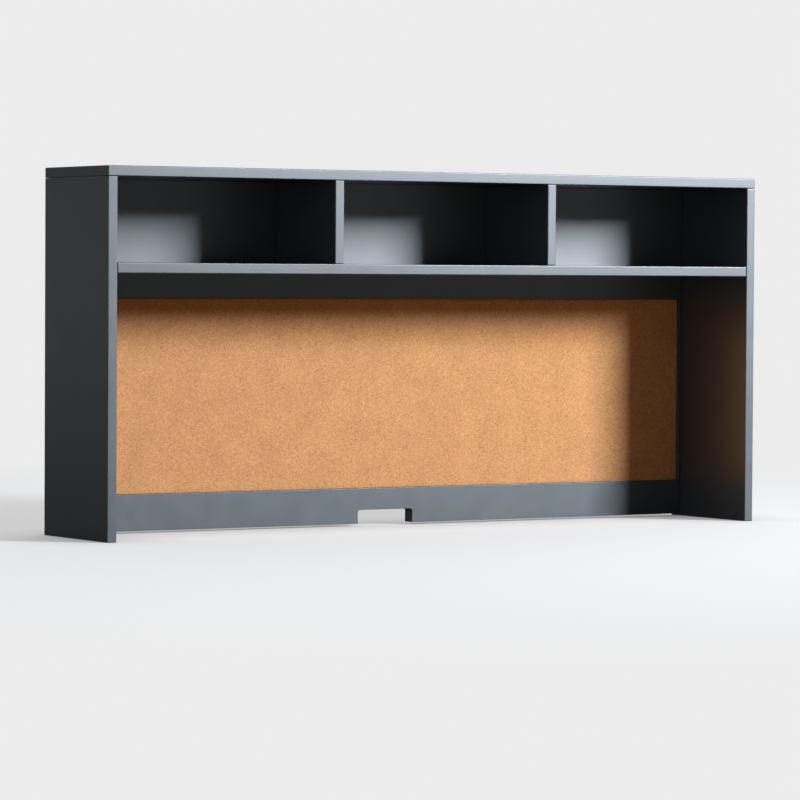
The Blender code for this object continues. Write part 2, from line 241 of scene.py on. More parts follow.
# %% [markdown]
# ## Slate lacquer on fibreboard
#
# The boards are sprayed with a pigmented satin lacquer and sanded between coats. From a step away it
# is one even colour. Close up it has three more things: a faint orange peel from the spray gun, a
# slow drift in tone over a hand's width, and, on the sawn edges, a trace of the board's fibres that
# the primer didn't quite fill. The gloss is broad, because satin lacquer holds a matting powder.
#
# Boards carry three marks on their faces, and the material reads them as attributes. Lacquer pulls
# thin on the rounded edges, marked eased, and they turn a shade lighter. The sawn edges show their
# fibres. The broad faces of the case are flatted with fine paper, which leaves them a little glossier
# than the back boards, where the paper can't reach.

# %% Mix the slate lacquer
SLATE = (0.0305, 0.0430, 0.0575)
SLATE_DEEP = (0.0280, 0.0395, 0.0530)
SLATE_THIN = (0.045, 0.060, 0.076)
LACQUER_ROUGHNESS = 0.415
FLATTED_ROUGHNESS = 0.33
LACQUER_IOR = 2.1
PEEL_SIZE = 2.4 * MM
PEEL_DEPTH = 0.010 * MM
FIBRE_SIZE = 0.8 * MM
FIBRE_DEPTH = 0.025 * MM
FIBRE_STRETCH = (6.0, 1.0, 1.0)
DRIFT_SIZE = 120.0 * MM
POWDER_SIZE = 1.1 * MM
POWDER_SHARE = 0.10
EASED_SHARE = 0.45
GLOSS_PATCH = 35.0 * MM
GLOSS_SWING = 0.02


def face_mark(tree, name):
    """A number that the mesh carries on each face."""
    return add_node(tree, "ShaderNodeAttribute", attribute_name=name).outputs["Fac"]


def make_lacquer(name, colour, deep, thin):
    made, tree, shader = start_finish(name, LACQUER_ROUGHNESS)
    shader.inputs["IOR"].default_value = LACQUER_IOR
    place = place_of(tree)
    drift = clouds(tree, place, DRIFT_SIZE, detail=3.0)
    powder = clouds(tree, place, POWDER_SIZE, detail=2.0, rough=0.6)
    tone = mix_colours(tree, spread(tree, drift), colour, deep)
    tone = mix_colours(tree, remap(tree, powder, 0.35, 0.75, 0.0, POWDER_SHARE), tone, thin)
    eased = face_mark(tree, "eased")
    tone = mix_colours(tree, sum_of(tree, eased, EASED_SHARE, "MULTIPLY"), tone, thin)
    feed(tree, shader.inputs["Base Color"], tone)

    along = place_of(tree, FIBRE_STRETCH)
    fibres = clouds(tree, along, FIBRE_SIZE, detail=4.0, rough=0.65)
    fibres = sum_of(tree, fibres, face_mark(tree, "sawn"), "MULTIPLY")
    peel = clouds(tree, place, PEEL_SIZE, detail=1.0)
    surface = raise_by(tree, fibres, FIBRE_DEPTH, raise_by(tree, peel, PEEL_DEPTH))
    feed(tree, shader.inputs["Normal"], surface)
    patchy = spread(tree, clouds(tree, place, GLOSS_PATCH, detail=3.0),
                    LACQUER_ROUGHNESS - GLOSS_SWING, LACQUER_ROUGHNESS + GLOSS_SWING)
    flatting = sum_of(tree, face_mark(tree, "flatted"), LACQUER_ROUGHNESS - FLATTED_ROUGHNESS,
                      "MULTIPLY")
    feed(tree, shader.inputs["Roughness"], sum_of(tree, patchy, flatting, "SUBTRACT"))
    return made


LACQUER = make_lacquer("slate_lacquer", SLATE, SLATE_DEEP, SLATE_THIN)
print("lacquer nodes:", len(LACQUER.node_tree.nodes))

# %% [markdown]
# ## Pressed cork
#
# The pinboard's face is pressed from cork that was ground to one or two millimetres and baked, so
# its own resin binds it. Each granule has its own tan, a few are dark bark, and the joints between
# them are a little deeper. Noise alone looks like sand. A Voronoi pattern gives separate granules,
# and its random colour for each cell picks the tone. Two sizes of granule are mixed, because a
# grinder never makes just one.

# %% Grind and press the cork
GRANULE = 1.7 * MM
CRUMB = 0.9 * MM
GRANULE_PART = 0.62               # of the tone; the crumbs give the rest
DOME_REACH = 0.9                  # where a granule's dome ends, in parts of its size
DOME_DEPTH = 0.14 * MM
PORE_SIZE = 0.4 * MM
PORE_DEPTH = 0.05 * MM
CORK_DRIFT_SIZE = 45.0 * MM
CORK_DRIFT = (0.94, 1.05)
CORK_TONES = ((0.00, (0.29, 0.094, 0.031)), (0.08, (0.50, 0.196, 0.072)), (0.30, (0.60, 0.276, 0.111)),
              (0.65, (0.665, 0.329, 0.140)), (1.00, (0.74, 0.440, 0.216)))


def granules(tree, place, size, feature="F1"):
    made = add_node(tree, "ShaderNodeTexVoronoi", feature=feature)
    tree.links.new(place, made.inputs["Vector"])
    made.inputs["Scale"].default_value = 1.0 / size
    return made


def one_number(tree, colour):
    """The red channel of a cell's random colour, as one even random number."""
    made = tree.nodes.new("ShaderNodeSeparateColor")
    tree.links.new(colour, made.inputs["Color"])
    return made.outputs["Red"]


def ramp(tree, value, stops):
    """Pick a colour along a ramp of (place, colour) stops."""
    made = tree.nodes.new("ShaderNodeValToRGB")
    tree.links.new(value, made.inputs["Fac"])
    elements = made.color_ramp.elements
    while len(elements) < len(stops):
        elements.new(0.5)
    for element, (position, colour) in zip(elements, stops):
        element.position = position
        element.color = (*colour, 1.0)
    return made.outputs["Color"]


def domes_of(tree, cells):
    """A height that is 1 in the middle of each cell and falls to 0 at its edge."""
    return remap(tree, cells.outputs["Distance"], 0.0, DOME_REACH, 1.0, 0.0)


def make_cork():
    made, tree, shader = start_finish("pressed_cork", 0.88, specular=0.25)
    place = place_of(tree)
    big = granules(tree, place, GRANULE)
    small = granules(tree, place, CRUMB)
    from_big = sum_of(tree, one_number(tree, big.outputs["Color"]), GRANULE_PART, "MULTIPLY")
    from_small = sum_of(tree, one_number(tree, small.outputs["Color"]), 1.0 - GRANULE_PART, "MULTIPLY")
    pick = sum_of(tree, from_big, from_small)
    tone = ramp(tree, pick, CORK_TONES)
    drift = spread(tree, clouds(tree, place, CORK_DRIFT_SIZE, detail=3.0), *CORK_DRIFT)
    shade = tree.nodes.new("ShaderNodeCombineColor")
    for channel in ("Red", "Green", "Blue"):
        tree.links.new(drift, shade.inputs[channel])
    tone = mix_colours(tree, 1.0, tone, shade.outputs["Color"], "MULTIPLY")
    feed(tree, shader.inputs["Base Color"], tone)
    half_domes = sum_of(tree, domes_of(tree, small), 0.5, "MULTIPLY")
    domes = sum_of(tree, domes_of(tree, big), half_domes)
    pores = clouds(tree, place, PORE_SIZE, detail=3.0, rough=0.7)
    surface = raise_by(tree, pores, PORE_DEPTH, raise_by(tree, domes, DOME_DEPTH))
    feed(tree, shader.inputs["Normal"], surface)
    feed(tree, shader.inputs["Roughness"], spread(tree, pores, 0.82, 0.95))
    return made


CORK = make_cork()
print("cork: granules of", GRANULE / MM, "and", round(CRUMB / MM, 1), "mm")

# %% [markdown]
# ## Fibreboard and painted hardboard
#
# The pinboard's core is soft fibreboard, a felted brown mat. The backer is hardboard, painted the
# same slate with a thinner and duller coat, so its fibres show. In both, two noises stretched across
# each other are multiplied, which looks like fibres that lie both ways.

# %% Felt the core and paint the backer
FELT_DARK = (0.30, 0.20, 0.12)
FELT_PALE = (0.56, 0.42, 0.28)
PAINTED = (0.066, 0.081, 0.095)
PAINTED_DEEP = (0.058, 0.071, 0.083)
FIBRE_TIP = (0.088, 0.102, 0.114)


def make_fibreboard():
    made, tree, shader = start_finish("soft_fibreboard", 0.9, specular=0.2)
    felt = clouds(tree, place_of(tree, (4.0, 1.0, 1.0)), 0.7 * MM, detail=5.0, rough=0.7)
    cross = clouds(tree, place_of(tree, (1.0, 1.0, 4.0)), 0.9 * MM, detail=5.0, rough=0.7)
    mat = sum_of(tree, felt, cross, "MULTIPLY")
    tone = mix_colours(tree, remap(tree, mat, 0.12, 0.42, 0.0, 1.0), FELT_DARK, FELT_PALE)
    feed(tree, shader.inputs["Base Color"], tone)
    feed(tree, shader.inputs["Normal"], raise_by(tree, mat, 0.12 * MM))
    return made


def make_painted_hardboard():
    made, tree, shader = start_finish("painted_hardboard", 0.5, specular=0.4)
    place = place_of(tree)
    lengthwise = clouds(tree, place_of(tree, (5.0, 1.0, 1.0)), 0.9 * MM, detail=5.0, rough=0.7)
    upright = clouds(tree, place_of(tree, (1.0, 1.0, 5.0)), 0.9 * MM, detail=5.0, rough=0.7)
    fibres = sum_of(tree, lengthwise, upright, "MULTIPLY")
    drift = clouds(tree, place, 0.16, detail=4.0)
    tone = mix_colours(tree, spread(tree, drift), PAINTED, PAINTED_DEEP)
    tone = mix_colours(tree, remap(tree, fibres, 0.14, 0.40, 0.0, 0.35), tone, FIBRE_TIP)
    feed(tree, shader.inputs["Base Color"], tone)
    feed(tree, shader.inputs["Normal"], raise_by(tree, fibres, 0.06 * MM))
    feed(tree, shader.inputs["Roughness"], remap(tree, fibres, 0.1, 0.5, 0.44, 0.58))
    return made


FIBREBOARD = make_fibreboard()
HARDBOARD = make_painted_hardboard()
print("sheet materials:", FIBREBOARD.name, HARDBOARD.name)

# %% [markdown]
# ## Beech, zinc plate and brass
#
# The dowels are raw beech, whose short dark flecks run along the grain. The screws have zinc plate,
# which is a little cloudy. The inserts are turned brass, whose fine rings come from the lathe's tool.

# %% Plane the beech and plate the metals
BEECH_PALE = (0.68, 0.47, 0.29)
BEECH_DARK = (0.55, 0.35, 0.20)
BEECH_FLECK = (0.36, 0.20, 0.11)
ZINC_BRIGHT = (0.62, 0.63, 0.64)
ZINC_DULL = (0.50, 0.51, 0.52)
BRASS_BRIGHT = (0.75, 0.53, 0.22)
BRASS_STAIN = (0.58, 0.38, 0.15)


def make_beech():
    made, tree, shader = start_finish("raw_beech", 0.6, specular=0.3)
    grain = clouds(tree, place_of(tree, (1.0, 1.0, 14.0)), 0.8 * MM, detail=4.0, rough=0.6)
    flecks = clouds(tree, place_of(tree, (1.0, 1.0, 6.0)), 0.45 * MM, detail=1.0)
    tone = mix_colours(tree, remap(tree, grain, 0.35, 0.65, 0.0, 1.0), BEECH_PALE, BEECH_DARK)
    tone = mix_colours(tree, remap(tree, flecks, 0.60, 0.70, 0.0, 0.7), tone, BEECH_FLECK)
    feed(tree, shader.inputs["Base Color"], tone)
    feed(tree, shader.inputs["Normal"], raise_by(tree, grain, 0.04 * MM))
    feed(tree, shader.inputs["Roughness"], spread(tree, grain, 0.52, 0.68))
    return made


def make_zinc():
    made, tree, shader = start_finish("zinc_plate", 0.33, metallic=1.0)
    place = place_of(tree)
    cloudy = clouds(tree, place, 1.5 * MM, detail=3.0)
    tone = mix_colours(tree, spread(tree, cloudy), ZINC_BRIGHT, ZINC_DULL)
    feed(tree, shader.inputs["Base Color"], tone)
    feed(tree, shader.inputs["Roughness"], spread(tree, cloudy, 0.26, 0.42))
    feed(tree, shader.inputs["Normal"],
         raise_by(tree, clouds(tree, place, 0.25 * MM, detail=2.0), 0.004 * MM))
    return made


def make_brass():
    made, tree, shader = start_finish("turned_brass", 0.3, metallic=1.0)
    rings = clouds(tree, place_of(tree, (60.0, 60.0, 1.0)), 0.12 * MM, detail=2.0)
    stain = clouds(tree, place_of(tree), 2.5 * MM, detail=3.0)
    tone = mix_colours(tree, remap(tree, stain, 0.35, 0.7, 0.0, 1.0), BRASS_BRIGHT, BRASS_STAIN)
    feed(tree, shader.inputs["Base Color"], tone)
    feed(tree, shader.inputs["Roughness"], spread(tree, stain, 0.24, 0.40))
    feed(tree, shader.inputs["Normal"], raise_by(tree, rings, 0.006 * MM))
    return made


BEECH, ZINC, BRASS = make_beech(), make_zinc(), make_brass()
print("timber and metals:", BEECH.name, ZINC.name, BRASS.name)

# %% [markdown]
# ## Boards with sanded edges
#
# Each board is sixteen millimetres thick, sawn square, and its edges are rounded with sandpaper
# before the lacquer. That small round matters more than anything else here: it draws the thin bright
# line along every edge, and where two boards meet, the two rounds make the dark line of the joint.
#
# A Bevel modifier could round a cube's edges. Here the board's outline is extruded and bevelled in
# mesh code, because one outline then serves the plain boards and the rail with its cable notch, and
# because the faces that the bevel adds can be marked for the lacquer. Weighted normals keep the big
# faces flat while the rounds shade smoothly.

# %% Helpers that make a board and round its edges
SANDED_RADIUS = 1.3 * MM
SANDED_STEPS = 5
CORNER_ANGLE = math.radians(35)      # sharper than this is an edge to round
NOTCH_RADIUS = 4.5 * MM
NOTCH_STEPS = 8


def rectangle(low, high):
    """The outline of a plain board in X and Z, anticlockwise."""
    return [(low.x, low.z), (high.x, low.z), (high.x, high.z), (low.x, high.z)]


def notched(low, high, half_width, top):
    """The same outline with a cable notch in the middle of its lower edge."""
    points = [(low.x, low.z), (-half_width, low.z)]
    for centre_x, start in ((-half_width + NOTCH_RADIUS, math.pi),
                            (half_width - NOTCH_RADIUS, math.pi / 2)):
        for step in range(NOTCH_STEPS + 1):
            angle = start - math.pi / 2 * step / NOTCH_STEPS
            points.append((centre_x + NOTCH_RADIUS * math.cos(angle),
                           top - NOTCH_RADIUS + NOTCH_RADIUS * math.sin(angle)))
    return points + [(half_width, low.z), (high.x, low.z), (high.x, high.z), (low.x, high.z)]


def extrude_outline(bm, outline, near, far):
    """Draw the outline at Y = near and pull it back to Y = far."""
    face = bm.faces.new([bm.verts.new((x, near, z)) for x, z in outline])
    pulled = bmesh.ops.extrude_face_region(bm, geom=[face])["geom"]
    moved = [part for part in pulled if isinstance(part, bmesh.types.BMVert)]
    bmesh.ops.translate(bm, vec=(0.0, far - near, 0.0), verts=moved)
    bmesh.ops.recalc_face_normals(bm, faces=bm.faces)


def mark_faces(bm, marks, size, rounded, flat_broad):
    """Mark the rounds as eased, the narrow faces as sawn and, on the case, the broad ones as flatted."""
    eased, sawn, flatted = marks
    thin = min(range(3), key=lambda i: size[i])
    for face in bm.faces:
        broad = abs(face.normal[thin]) > 0.5
        is_round = face in rounded
        face[eased] = float(is_round)
        face[sawn] = float(not broad and not is_round)
        face[flatted] = float(broad and flat_broad and not is_round)


def mesh_from(bm, name):
    """Turn what the mesh code drew into a mesh."""
    mesh = bpy.data.meshes.new(name)
    bm.to_mesh(mesh)
    bm.free()
    return mesh


def smooth(mesh):
    """Shade smoothly, but keep every corner that is sharper than the limit."""
    mesh.shade_smooth()
    mesh.set_sharp_from_angle(angle=CORNER_ANGLE)


def finish_piece(mesh, name, node, material):
    """Give a mesh its material, and let it stand for a node of the frame."""
    if not mesh.materials:
        mesh.materials.append(material)
    piece = add_object(name, mesh)
    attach(piece, "root")
    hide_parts(node)
    return piece


def make_board(node, name, material=LACQUER, radius=SANDED_RADIUS, outline=None,
               flat_broad=False):
    """A board that stands for a node of the frame: its outline, pulled back, with rounded edges."""
    low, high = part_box(node)
    bm = bmesh.new()
    marks = [bm.faces.layers.float.new(mark) for mark in ("eased", "sawn", "flatted")]
    extrude_outline(bm, outline or rectangle(low, high), low.y, high.y)
    sharp = [edge for edge in bm.edges if edge.calc_face_angle() > CORNER_ANGLE]
    rounded = bmesh.ops.bevel(bm, geom=sharp, offset=radius, segments=SANDED_STEPS, profile=0.5,
                              affect="EDGES", clamp_overlap=True)["faces"]
    mark_faces(bm, marks, high - low, set(rounded), flat_broad)
    mesh = mesh_from(bm, name)
    smooth(mesh)
    board = finish_piece(mesh, name, node, material)
    weighted = board.modifiers.new("flat_faces_stay_flat", "WEIGHTED_NORMAL")
    weighted.keep_sharp = True
    return board


print("edges are rounded to", SANDED_RADIUS / MM, "mm in", SANDED_STEPS, "steps")

# %% [markdown]
# ## The case, the shelf and the dividers
#
# The top lies on both sides and is flush with them. The shelf hangs between the sides, and the two
# dividers stand on it. All six are plain boards, so one loop makes them from their boxes in the frame.

# %% Make the case boards
CASE_BOARDS = {"top_panel": "lacquered_top", "left_side_panel": "lacquered_left_side",
               "right_side_panel": "lacquered_right_side", "shelf_panel": "lacquered_shelf",
               "left_divider": "lacquered_left_divider", "right_divider": "lacquered_right_divider"}
boards = {node: make_board(node, name, flat_broad=True) for node, name in CASE_BOARDS.items()}
for node, board in boards.items():
    print(node, "faces:", len(board.data.polygons))

# %% [markdown]
# ## The back frame and its cable notch
#
# The upper back panel closes the cubbies and shows as a dark strip above the cork. The lower rail
# carries the cable notch, whose two upper corners are round because a router cut them. Two slim
# stiles fill the space beside the pinboard. The notch could be a Boolean cut, but then its rim would
# stay knife-sharp. Drawn into the outline, it gets the same broken edge as the rest of the rail.

# %% Make the back frame
NOTCH_HALF = 52.0 * MM
NOTCH_TOP = 26.0 * MM
BACK_RADIUS = 0.6 * MM            # edges at the back are only broken, not rounded

rail_low, rail_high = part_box("lower_back_rail")
boards["lower_back_rail"] = make_board(
    "lower_back_rail", "lacquered_rail", radius=BACK_RADIUS,
    outline=notched(rail_low, rail_high, NOTCH_HALF, NOTCH_TOP))
boards["upper_back_panel"] = make_board("upper_back_panel", "lacquered_back", radius=BACK_RADIUS)
for side in ("left", "right"):
    boards[side + "_back_stile"] = make_board(side + "_back_stile", "lacquered_" + side + "_stile",
                                              radius=BACK_RADIUS)
print("notch, mm:", round(2 * NOTCH_HALF / MM, 1), "wide,", round(NOTCH_TOP / MM, 1), "high")

# %% [markdown]
# ## The backer
#
# A thin hardboard panel closes the rear. It lies a few millimetres inside the rear edges, so it
# can't be seen from the side, and it has the same notch. Hardboard is cut and hardly sanded, so its
# round is small.

# %% Make the backer
HARDBOARD_RADIUS = 0.4 * MM
back_low, back_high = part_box("backer_board")
boards["backer_board"] = make_board(
    "backer_board", "painted_backer", HARDBOARD, HARDBOARD_RADIUS,
    notched(back_low, back_high, NOTCH_HALF, NOTCH_TOP))
print("backer, mm:", [round(side / MM, 1) for side in back_high - back_low])

# %% [markdown]
# ## The pinboard
#
# The pinboard is a soft fibreboard core with the cork sheet glued to its face. The core keeps the
# frame's own solid and only gets its felt, because nothing but its thin edges could ever show. The
# cork is remade: pressing leaves it slightly uneven, and the knife that trims it rounds its edge.
# The mesh has a point every three millimetres, pushed in by noise for the unevenness. The material's
# bump adds the granules, which are too many to model. The face is only ever pushed in, never out.

# %% Press the cork sheet
CORK_GRID = 3.0 * MM
CORK_UNEVEN = 0.22 * MM
CORK_WAVE = 9.0 * MM
CORK_ROUGH = 0.6                  # how much of the relief its finer waves keep
CORK_FINER = 2.0                  # how much finer each wave is than the one before
CORK_WAVES = 3
KNIFE_ROUND = 0.7 * MM


def make_cork_sheet(node, name):
    low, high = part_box(node)
    size = high - low
    across, upward = (round(side / CORK_GRID) for side in (size.x, size.z))
    bm = bmesh.new()
    rows = []
    for j in range(upward + 1):
        row = []
        for i in range(across + 1):
            x = low.x + size.x * i / across
            z = low.z + size.z * j / upward
            on_edge = i in (0, across) or j in (0, upward)
            wave = noise.fractal(Vector((x, 0.0, z)) / CORK_WAVE, CORK_ROUGH, CORK_FINER, CORK_WAVES)
            hollow = 0.5 + 0.5 * wave
            depth = CORK_UNEVEN * min(max(hollow, 0.0), 1.0) + (KNIFE_ROUND if on_edge else 0.0)
            row.append(bm.verts.new((x, low.y + depth, z)))
        rows.append(row)
    for lower, upper in zip(rows, rows[1:]):
        for i in range(across):
            bm.faces.new((lower[i], lower[i + 1], upper[i + 1], upper[i]))
    rim = [edge for edge in bm.edges if edge.is_boundary]
    pulled = bmesh.ops.extrude_edge_only(bm, edges=rim)["geom"]
    for vert in (part for part in pulled if isinstance(part, bmesh.types.BMVert)):
        vert.co.y = high.y
    bmesh.ops.contextual_create(bm, geom=[edge for edge in bm.edges if edge.is_boundary])
    bmesh.ops.recalc_face_normals(bm, faces=bm.faces)
    mesh = mesh_from(bm, name)
    smooth(mesh)
    return finish_piece(mesh, name, node, CORK)


cork_sheet = make_cork_sheet("cork_sheet", "pressed_cork_sheet")
print("cork sheet faces:", len(cork_sheet.data.polygons))


def dress(node, material):
    """Keep the frame's own solid, and give it a better finish."""
    mesh = NODES[node].data
    mesh.materials.clear()
    mesh.materials.append(material)


dress("pinboard_core", FIBREBOARD)

# %% [markdown]
# ## Turned pieces
#
# Dowels, screws and inserts are all turned: a profile, given as radius and height, is spun round an
# axis. Blender's Screw modifier or the spin operator would do for plain ones. Here each ring of points
# may also be pushed in or out by a relief, a small function of the angle and the height, and so one
# helper makes flutes, threads and knurls. The mesh of each kind is made once, and its copies share it.

# %% Helper that turns a profile
def turn(name, profile, sides, relief=None, hollow=False):
    """Spin a profile of (radius, height) round Z. A hollow one closes on itself, as a tube does."""
    bm = bmesh.new()
    rings = []
    for radius, height in profile:
        ring = []
        for i in range(sides):
            angle = 2.0 * math.pi * i / sides
            r = radius + (relief(angle, radius, height) if relief else 0.0)
            ring.append(bm.verts.new((r * math.cos(angle), r * math.sin(angle), height)))
        rings.append(ring)
    pairs = list(zip(rings, rings[1:] + rings[:1])) if hollow else list(zip(rings, rings[1:]))
    for near, far in pairs:
        for i in range(sides):
            j = (i + 1) % sides
            bm.faces.new((near[i], near[j], far[j], far[i]))
    if not hollow:
        for ring in (rings[0], rings[-1]):
            bm.faces.new(ring)
    bmesh.ops.recalc_face_normals(bm, faces=bm.faces)
    mesh = mesh_from(bm, name)
    smooth(mesh)
    return mesh


def steps(start, end, count):
    """Evenly spaced numbers, both ends included."""
    return [start + (end - start) * i / count for i in range(count + 1)]


print("turning helper ready")

# %% [markdown]
# ## Fluted dowels
#
# Two beech dowels hold each joint of the case. Their flutes let glue and air out of the bore, and
# both ends are chamfered so that they start easily. The flutes run straight, cut as the rod is drawn
# through a die.

# %% Draw the dowels
FLUTES = 18
FLUTE_DEPTH = 0.25 * MM
SIDES_PER_FLUTE = 4
DOWEL_CHAMFER = 1.0 * MM


def size_of(node):
    """A fastener's diameter and length, from its box: its length is the longest side."""
    low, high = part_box(node)
    sides = sorted(high - low)
    return sides[1], sides[2]


def flutes(angle, radius, height):
    return -FLUTE_DEPTH * (0.5 - 0.5 * math.cos(FLUTES * angle))


def dowel_mesh(diameter, length):
    r, end = diameter / 2, length / 2
    inward, down = DOWEL_CHAMFER * 0.3, DOWEL_CHAMFER * 0.4     # the chamfer's rounded shoulder
    profile = [(r - DOWEL_CHAMFER, -end), (r - inward, -end + down), (r, -end + DOWEL_CHAMFER),
               (r, end - DOWEL_CHAMFER), (r - inward, end - down), (r - DOWEL_CHAMFER, end)]
    return turn("fluted_dowel", profile, FLUTES * SIDES_PER_FLUTE, flutes)


HEAD_TOWARDS = {"dowel": Vector((0.0, 0.0, 1.0)), "screw": Vector((0.0, 1.0, 0.0)),
                "insert": Vector((0.0, 0.0, -1.0))}


def set_in(node, name, mesh, material, towards):
    """Put a turned piece where its node is, with its head towards a direction."""
    low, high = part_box(node)
    piece = finish_piece(mesh, name, node, material)
    piece.location = (low + high) / 2
    piece.rotation_mode = "QUATERNION"
    piece.rotation_quaternion = towards.to_track_quat("Z", "Y")
    return piece


fasteners = {}
dowels = [node for node in NODES if "dowel" in node]
drawn_dowel = dowel_mesh(*size_of(dowels[0]))
for node in dowels:
    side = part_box(node)[1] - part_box(node)[0]
    lying = side.x > side.z
    towards = Vector((1.0, 0.0, 0.0)) if lying else HEAD_TOWARDS["dowel"]
    fasteners[node] = set_in(node, "fluted_" + node, drawn_dowel, BEECH, towards)
print("dowels:", len(dowels), "of", [round(side / MM, 1) for side in size_of(dowels[0])], "mm")

# %% [markdown]
# ## Screws
#
# Countersunk screws pull the back of the cubbies against the shelf and dividers, and pan-head screws
# hold the backer. A thread is a ridge that climbs one pitch in each turn, so its relief depends on
# the angle and the height together. The cross recess is cut by a Boolean with two crossed tapered
# blades, once for each kind of screw, and applied, so that every copy is light.

# %% Roll the threads and cut the recess
SCREW_SIDES = 32
RINGS_PER_TURN = 8
THREAD_DEPTH = 0.14               # of the diameter
PITCH_SHARE = 0.42                # of the diameter
RIDGE_SHARPNESS = 2.6
RUN_IN = 0.3                      # how much of the ridge is there at its low end
POINT_LENGTH = 0.9                # of the diameter
TIP_RADIUS = 0.06                 # of the diameter
POINT_START = 0.25                # of the full radius
CROWN = 0.55                      # of a pan head's height and radius
CROWN_LEAN = 80.0                 # degrees
CROWN_RINGS = 7
RECESS_WIDTH = 0.13               # of the head's diameter
RECESS_LENGTH = 0.56              # of the head's diameter
RECESS_DEPTH = 0.75               # of the head's height


def thread(pitch, depth, low_end, high_end):
    """A relief: a sharp ridge that climbs one pitch a turn between two heights."""
    def relief(angle, radius, height):
        if not low_end <= height <= high_end:
            return 0.0
        phase = (height / pitch - angle / (2.0 * math.pi)) % 1.0
        fade = min(1.0, (high_end - height) / pitch, (height - low_end) / pitch + RUN_IN)
        return -depth * min(1.0, abs(phase - 0.5) * RIDGE_SHARPNESS) * fade
    return relief


def cross_cutter(top, width, length, depth):
    """Two crossed blades that taper towards the tip, joined into one mesh."""
    bm = bmesh.new()
    for turned in (0.0, math.pi / 2):
        made = bmesh.ops.create_cone(bm, cap_ends=True, segments=4, radius1=length * 0.30,
                                     radius2=length * 0.75, depth=depth * 2,
                                     matrix=Matrix.Rotation(math.pi / 4, 4, "Z"))["verts"]
        for vert in made:
            vert.co.y *= width / length
            vert.co = Matrix.Rotation(turned, 3, "Z") @ vert.co
            vert.co.z += top
    return mesh_from(bm, "cross_cutter")


def cut_away(mesh, cutter_mesh, crossed=False):
    """Cut one mesh out of another, and return what is left. Crossed cutters overlap themselves."""
    blank = add_object("blank", mesh)
    cutter = add_object("cutter", cutter_mesh)
    cut = blank.modifiers.new("cut", "BOOLEAN")
    cut.object = cutter
    cut.operation = "DIFFERENCE"
    cut.solver = "EXACT"
    cut.use_self = crossed
    bpy.context.view_layer.update()
    evaluated = blank.evaluated_get(bpy.context.evaluated_depsgraph_get())
    result = bpy.data.meshes.new_from_object(evaluated)
    for piece in (blank, cutter):
        bpy.data.objects.remove(piece, do_unlink=True)
    result.name = mesh.name
    smooth(result)
    return result


def screw_mesh(name, shank, length, head, head_height, countersunk):
    """A screw with its tip at the bottom and its head's face at the top, centred on its length."""
    top, tip = length / 2, -length / 2
    neck = top - head_height
    pitch = shank * PITCH_SHARE
    point = tip + shank * POINT_LENGTH
    profile = [(shank * TIP_RADIUS, tip)]
    turns = (neck - tip) / pitch
    for z in steps(tip, neck - pitch * 0.5, round(turns * RINGS_PER_TURN))[1:]:
        grown = POINT_START + (1.0 - POINT_START) * (z - tip) / (point - tip)
        profile.append((shank / 2 * min(1.0, grown), z))
    if countersunk:
        profile += [(shank / 2, neck), (head / 2, top - 0.25 * MM), (head / 2, top - 0.08 * MM),
                    (head / 2 - 0.08 * MM, top)]
    else:
        crown = CROWN * head_height
        profile += [(shank / 2, neck), (head / 2 - 0.1 * MM, neck), (head / 2, neck + 0.12 * MM)]
        for part in steps(0.0, CROWN_LEAN, CROWN_RINGS):
            lean = math.radians(part)
            rise = math.sin(lean) / math.sin(math.radians(CROWN_LEAN))
            profile.append((head / 2 * (1.0 - CROWN + CROWN * math.cos(lean)),
                            top - crown + crown * rise))
    mesh = turn(name, profile, SCREW_SIDES, thread(pitch, shank * THREAD_DEPTH, tip, neck - pitch))
    blades = cross_cutter(top, head * RECESS_WIDTH, head * RECESS_LENGTH, head_height * RECESS_DEPTH)
    return cut_away(mesh, blades, crossed=True)


PAN_SHANK = 3.5 * MM
PAN_HEAD_HEIGHT = 2.2 * MM
FLAT_SHANK = 4.0 * MM
FLAT_HEAD_HEIGHT = 2.4 * MM
pans = [node for node in NODES if node.startswith("backer_") and "screw" in node]
flats = [node for node in NODES if "screw" in node and node not in pans]
pan_head, pan_length = size_of(pans[0])
flat_head, flat_length = size_of(flats[0])
pan_screw = screw_mesh("pan_head_screw", PAN_SHANK, pan_length, pan_head, PAN_HEAD_HEIGHT, False)
flat_screw = screw_mesh("countersunk_screw", FLAT_SHANK, flat_length, flat_head, FLAT_HEAD_HEIGHT, True)
for kind, mesh in ((pans, pan_screw), (flats, flat_screw)):
    for node in kind:
        fasteners[node] = set_in(node, "threaded_" + node, mesh, ZINC,
                                 HEAD_TOWARDS["screw"])
print("screws:", len(pans), "pan-head with", len(pan_screw.polygons), "faces,", len(flats),
      "countersunk with", len(flat_screw.polygons))

# %% [markdown]
# ## Threaded inserts
#
# Two brass inserts in the bottom edge of each side panel take bolts from below. Outside, a coarse
# ridged thread bites into the board. Inside is a plain machine bore, with a chamfer at its mouth. It
# is a tube, so its profile closes on itself.

# %% Turn the inserts
INSERT_BORE = 5.0 * MM
INSERT_CHAMFER = 0.6 * MM
INSERT_PITCH = 2.6 * MM
INSERT_RIDGE = 0.9 * MM
INSERT_LIP = 1.2 * MM             # the plain length at the mouth
INSERT_BREAK = 0.2 * MM
INSERT_SIDES = 48
INSERT_RINGS = 40


